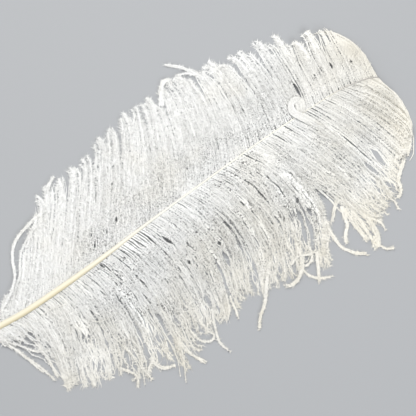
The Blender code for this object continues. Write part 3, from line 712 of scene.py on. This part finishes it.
# ---------------------------------------------------------------- loose locks
# Small locks of the same white barbs that stand out of the vanes: loops, forks and a pennant on the upper vane's
# edge, ends that hang out of the lower one's, and the lock that curls back over the shaft. Each is a bundle of
# barbs along one line. Name: space between its barbs in mm, how many, points in mm from the quill's butt.
LOOSE = {
    "fork": (1.6, 3, [(178, 72, 3), (186, 87, 3), (195, 96, 2.4), (206, 103, 2)]),
    "fork_back": (1.4, 3, [(181, 76, 3), (180, 88, 2.4), (178, 97, 2)]),
    "pennant": (1.2, 3, [(404, 93, 2.6), (397, 108, 2.4), (390, 119, 2.2), (378, 131, 2)]),
    "pennant_low": (0.9, 2, [(400, 102, 2.4), (391, 110, 2.2), (382, 114, 2)]),
    "edge_loop": (1.0, 3, [(172.2, 76.8, 3), (160.9, 76.1, 2.6), (148.6, 74.0, 2.2), (136.1, 70.8, 2),
        (125.8, 65.3, 2), (118.4, 57.1, 2), (112.6, 47.0, 2.2), (107.3, 36.6, 2.6), (95.5, 26.1, 3),
        (82.9, 18.9, 4), (72.5, 12.8, 5)]),
    "edge_inner": (0.9, 2, [(160.0, 69.2, 3), (149.5, 65.9, 2.6), (138.2, 60.5, 2.4), (128.9, 55.0, 2.4),
        (121.4, 46.8, 2.6), (112.9, 35.3, 3), (100.3, 25.3, 3.6)]),
    "edge_link": (0.8, 2, [(163.9, 74.6, 3), (152.8, 67.6, 2.8), (143.7, 60.6, 2.8), (135.9, 55.4, 3)]),
    "droop_a": (1.3, 3, [(346.0, -113.4, 4), (329.9, -130.3, 3), (314.6, -147.8, 2), (302.0, -157.2, 1.8),
        (292.9, -168.8, 1.5)]),
    "droop_b": (1.1, 2, [(264.0, -118.4, 3), (255.2, -136.4, 2), (249.4, -154.0, 1.7), (253.2, -169.5, 1.5)]),
    "droop_d": (1.3, 3, [(213.6, -128.4, 3), (214.5, -140.5, 2), (218.7, -151.6, 1.8), (223.5, -163.8, 1.5)]),
    "thin_a": (0.5, 1, [(210.6, -68.2, 9), (205.9, -91.8, 6), (204.7, -112.6, 4), (203.3, -127.8, 3),
        (199.7, -144.1, 2.4), (191.7, -160.1, 1.6)]),
    "thin_b": (0.9, 2, [(224.2, -64.3, 10), (218.2, -89.8, 7), (214.8, -111.7, 5), (211.7, -131.1, 3),
        (205.1, -148.0, 2.2), (192.8, -169.0, 1.5)]),
    "thin_c": (0.6, 2, [(157.2, -78.7, 6), (160.3, -97.1, 4), (163.4, -115.5, 3), (161.5, -130.4, 2.2),
        (154.4, -144.2, 1.5)]),
    "thin_d": (0.4, 1, [(127.6, -38.7, 8), (116.6, -57.9, 5), (108.0, -72.0, 3), (92.6, -93.5, 2)]),
    "low_loop": (1.0, 2, [(142.4, -112.7, 2.4), (149.4, -121.8, 2), (152.9, -131.1, 2),
        (147.3, -141.9, 1.5)]),
    "low_fork": (0.9, 2, [(180.7, -125.2, 3), (171.0, -130.4, 2.2), (161.9, -137.5, 1.6)]),
    "s_curl": (1.4, 3, [(424.3, -96.3, 1.5), (420.4, -115.1, 1.8), (419.2, -133.8, 2), (419.4, -144.8, 2),
        (423.1, -152.9, 1.8), (428.7, -160.2, 1.7), (441.1, -170.4, 1.5)]),
    "right_end": (1.0, 2, [(455.7, -156.5, 2.6), (455.1, -166.9, 2.2), (458.8, -175.9, 1.8),
        (466.8, -180.7, 1.5)]),
    "frond_a": (1.6, 4, [(447.6, -112.9, 2), (447.1, -128.8, 2), (447.2, -143.7, 2), (447.7, -158.2, 1.8)]),
    "frond_c": (1.6, 3, [(452.6, -119.2, 2), (452.7, -134.1, 2), (452.9, -149.1, 2), (451.5, -164.3, 1.8),
        (449.4, -171.0, 1.5)]),
    "frond_b": (1.7, 4, [(461.9, -123.1, 2), (462.0, -142.1, 2), (459.7, -159.4, 2), (451.9, -171.3, 1.6)]),
    "curly": (1.3, 3, [(446.2, -109.2, 2), (442.5, -120.1, 2), (439.4, -130.7, 2), (431.9, -136.8, 2),
        (426.7, -146.6, 1.6)]),
    "stub": (1.3, 3, [(450.3, -95.9, 2), (443.2, -103.0, 2), (435.0, -110.7, 2), (425.9, -118.4, 1.6)]),
    "hook_c": (1.6, 3, [(379.3, -129.1, 3), (370.8, -139.2, 2.4), (362.1, -146.5, 2), (350.6, -148.5, 1.8),
        (342.8, -144.2, 1.5)]),
    "tail_curve": (1.1, 2, [(380.9, -119.4, 3), (375.7, -133.2, 2.6), (371.3, -142.2, 2.2),
        (372.8, -151.5, 2), (380.1, -160.3, 1.8), (394.2, -167.0, 1.5)]),
    "net_a": (0.7, 2, [(362.8, -129.5, 3), (372.7, -127.0, 3), (382.7, -130.1, 3), (392.6, -133.2, 3)]),
    "net_b": (0.7, 2, [(391.4, -125.5, 3.4), (387.8, -135.1, 3), (379.6, -140.1, 2.6), (368.7, -138.3, 2.4)]),
    "end_v": (1.2, 3, [(394.4, -134.4, 3.4), (386.8, -147.9, 2.4), (376.7, -165.0, 1.5)]),
    "spike": (0.7, 1, [(494.4, -128.7, 3), (496.5, -139.0, 2.2), (496.8, -150.0, 1.5)]),
    "corner": (0.8, 2, [(465.4, -139.1, 3), (471.2, -150.0, 2.2), (470.0, -159.3, 1.6)]),
    "cross_low": (0.4, 1, [(145.9, -49.0, 10), (153.6, -57.2, 10), (164.5, -60.9, 10), (181.0, -60.5, 10)]),
    "cross_base": (0.5, 1, [(104.8, -15.7, 9), (118.3, -15.8, 10), (129.5, -19.1, 10), (137.1, -19.8, 9)]),
    "fray_a": (0.9, 2, [(55.2, -11.4, 4), (58.6, -21.9, 3), (65.5, -41.7, 2.4), (71.7, -59.6, 2),
        (76.5, -82.0, 1.6)]),
    "fray_b": (0.8, 2, [(57.7, -11.8, 4), (60.2, -27.1, 3), (66.9, -48.1, 2.2), (70.9, -67.1, 1.6)]),
    "base_a": (0.9, 2, [(103.2, -10.5, 6), (87.1, -17.9, 4), (65.5, -28.2, 2.4)]),
    "base_b": (0.8, 2, [(63.2, -21.1, 4), (70.4, -33.7, 3), (79.4, -44.8, 2.6), (89.4, -50.6, 2.4)]),
    "base_c": (1.0, 3, [(89.1, -11.2, 5), (89.9, -25.3, 4), (85.7, -45.3, 3), (83.0, -69.0, 2.2),
        (81.4, -82.7, 1.6)]),
    "base_d": (0.7, 2, [(78.6, -14.6, 5), (82.1, -30.5, 3), (83.9, -41.3, 2.6), (83.6, -58.7, 2)]),
    "hook_up": (1.5, 4, [(348.4, 95.6, 3), (355.0, 105.8, 2.8), (361.3, 113.5, 2.6), (367.4, 116.6, 2.4),
        (371.9, 114.3, 2.2), (371.3, 109.7, 2)]),
    "loop_low": (1.1, 2, [(230.7, -127.1, 3), (232.0, -136.8, 2.2), (236.3, -143.9, 2), (243.5, -147.1, 2),
        (248.9, -143.4, 2), (246.0, -136.0, 2)]),
    "fringe_a": (1.0, 2, [(286.1, -113.9, 3), (279.9, -128.4, 2), (271.1, -139.7, 1.5)]),
    "fringe_b": (1.0, 2, [(288.4, -118.3, 3), (284.6, -133.1, 2), (282.2, -144.9, 1.5)]),
    "low_blob": (1.3, 3, [(177.2, -122.7, 2.6), (178.1, -132.8, 2.2), (183.6, -142.1, 1.8),
        (194.8, -145.4, 1.6)]),
    "rim_a": (1.6, 4, [(562.5, -50.3, 3.4), (559.9, -67.3, 2.8), (554.1, -84.8, 2.4), (546.5, -98.3, 2),
        (535.7, -106.8, 1.6)]),
    "rim_b": (1.9, 5, [(555.2, -49.2, 3.6), (552.8, -67.7, 2.8), (548.4, -83.4, 2.2), (540.3, -96.6, 1.8),
        (528.4, -105.7, 1.5)]),
    "rim_c": (1.7, 4, [(547.8, -52.0, 3.4), (545.1, -69.0, 2.6), (540.4, -83.2, 2), (533.0, -95.5, 1.8),
        (523.6, -104.9, 1.5)]),
    "rim_d": (1.3, 3, [(533.3, -106.5, 2), (522.5, -115.0, 2), (514.9, -121.8, 2), (511.6, -130.2, 1.8),
        (506.7, -136.1, 1.8), (498.4, -138.3, 1.6)]),
}
ON_TOP = ("cross_low", "cross_base", "thin_a", "thin_b", "thin_c", "thin_d", "net_a", "net_b", "hook_c",
          "tail_curve")  # these lie on the vanes
# The curl lies between these two lines: it rises from the shaft's upper side, arcs back over it and comes to rest
# on the lower vane.
CURL_OUTER = [(471.9, -1.2, 27.5), (475.7, 3.5, 29), (477.6, 9.6, 30.2), (475.6, 15.3, 31),
              (470.5, 18.6, 31.6), (464.7, 17.5, 32), (460.1, 13.3, 32.2), (457.5, 7.7, 32),
              (458.9, 1.3, 31.6), (462.9, -6.3, 30.5), (467.8, -16.5, 28.5), (471.3, -28.5, 25)]
CURL_INNER = [(462, 1.1, 27.5), (465.4, 4.8, 28.4), (467.6, 8.6, 29.2), (467.8, 11.6, 30),
              (466.2, 12.4, 30.8), (464, 10.5, 31.4), (463, 6.8, 32), (465.4, 2, 32.2), (470, -3.9, 31.6),
              (474.6, -12.6, 30), (479.1, -23.3, 27.5), (481.8, -34.6, 24.5)]
CURL_BARBS = 15
STEPS = 26  # points along each barb
LOCK_HALF, LOCK_BARBULE, LOCK_PITCH = 0.6, 2.4, 0.55  # mm: half a barb's width, its barbules' length and pitch
CURL_HALF, CURL_BARBULE = 0.42, 1.0
HIGHEST = 34.9  # mm


def through(points, count):
    """Points at even steps along a smooth curve through the given ones."""
    points = np.array(points, float)
    key = np.concatenate([[0], np.cumsum(np.linalg.norm(np.diff(points, axis=0), axis=1))])
    return curve(np.concatenate([key[:, None], points], 1), np.linspace(0, key[-1] - 1e-6, count))


def cut_short(paths, shares):
    """The paths, each cut to its share of its length."""
    return np.stack([np.stack([np.interp(steps * share, steps, path[:, axis]) for axis in range(3)], -1)
                     for path, share in zip(paths, shares)])


def lie_on(line, clearance):
    """Raises the points of a line that are inside the vanes so that it lies on top of the barbs there."""
    for point in line.reshape(-1, 3):
        apart = np.hypot(*(vane_points[:, :2] - point[:2]).T)
        i = apart.argmin()
        if apart[i] < 5:
            point[2] = max(point[2], vane_points[i, 2] + clearance)


grid = np.arange(46, 568, 3.0)
vane_points = np.concatenate([vane_paths(side, grid, 1, 0.0)[0].reshape(-1, 3) for side in (1, -1)])
rng = np.random.default_rng(77)
steps = np.linspace(0, 1, STEPS)
bundles = []  # paths, half widths, barbule sizes
for name, (spacing, amount, points) in LOOSE.items():
    line = through(points, STEPS)[None].repeat(amount, 0)
    _, across, up = frames(line)
    spread = (np.arange(amount) - (amount - 1) / 2)[:, None, None] * spacing
    t = steps[None, :, None]
    wave = rng.normal(0, 0.35, (amount, 1, 1)) * np.sin(t * 9 + rng.uniform(0, 6.3, (amount, 1, 1)))
    line = line + across * (spread * (1 - 0.4 * t) + wave) + up * rng.normal(0, 0.25, (amount, 1, 1))
    line = cut_short(line, [1.0, *rng.uniform(0.90, 1.0, amount)[1:]])
    line[..., 2] = np.maximum(line[..., 2], 0.6)
    if name in ON_TOP:
        lie_on(line, 0.5 if name.startswith("cross") else 1.4)
    fine = 0.5 if name.startswith(("thin", "cross")) else 1.0
    wide = np.full((amount, STEPS), LOCK_HALF * fine) * (1 - 0.6 * ramp(0.85, 1, steps))
    bundles.append((line, wide, np.full((amount, STEPS), LOCK_BARBULE * fine)))
# the curl's barbs are spread between its two lines
share = (np.linspace(0, 1, CURL_BARBS) + rng.uniform(-0.02, 0.02, CURL_BARBS))[:, None, None]
line = through(CURL_OUTER, STEPS) * (1 - share) + through(CURL_INNER, STEPS) * share
line[..., 2] += rng.normal(0, 0.45, (CURL_BARBS, 1)) + 0.4 * np.sin(np.linspace(0, 3, STEPS)) + 1.2
line = cut_short(line, rng.uniform(0.72, 1.0, CURL_BARBS))
line[..., 2] -= 2.0 * ramp(0.8, 1.0, steps)
wide = np.full((CURL_BARBS, STEPS), CURL_HALF) * (0.7 + 0.3 * ramp(0, 0.2, steps))
wide *= 1 - 0.6 * ramp(0.85, 1, steps)
bundles.append((line, wide, np.full((CURL_BARBS, STEPS), CURL_BARBULE)))

strips = []
for line, wide, size in bundles:
    along = path_lengths(line)
    strip = ribbons(line, wide, np.radians(rng.normal(0, 10, (len(line), 1))), along)
    own = np.repeat(rng.uniform(0, 1, len(line)), STEPS)
    # the locks' painted pit shade: 0.25 on their strips and 0.35 on their barbules
    strips.append((*strip, tints(own, 0.9, 0.25)))
    *blades, owner, _ = barbules(line, along, rng, size, np.full(len(line), 1.5), LOCK_PITCH)
    strips.append((*blades, tints(rng.uniform(0, 1, len(owner)), 0.9, 0.35)))
piece = mesh_object("loose_locks", down, *joined(strips, HIGHEST))
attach(piece, "root")
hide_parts("feather")
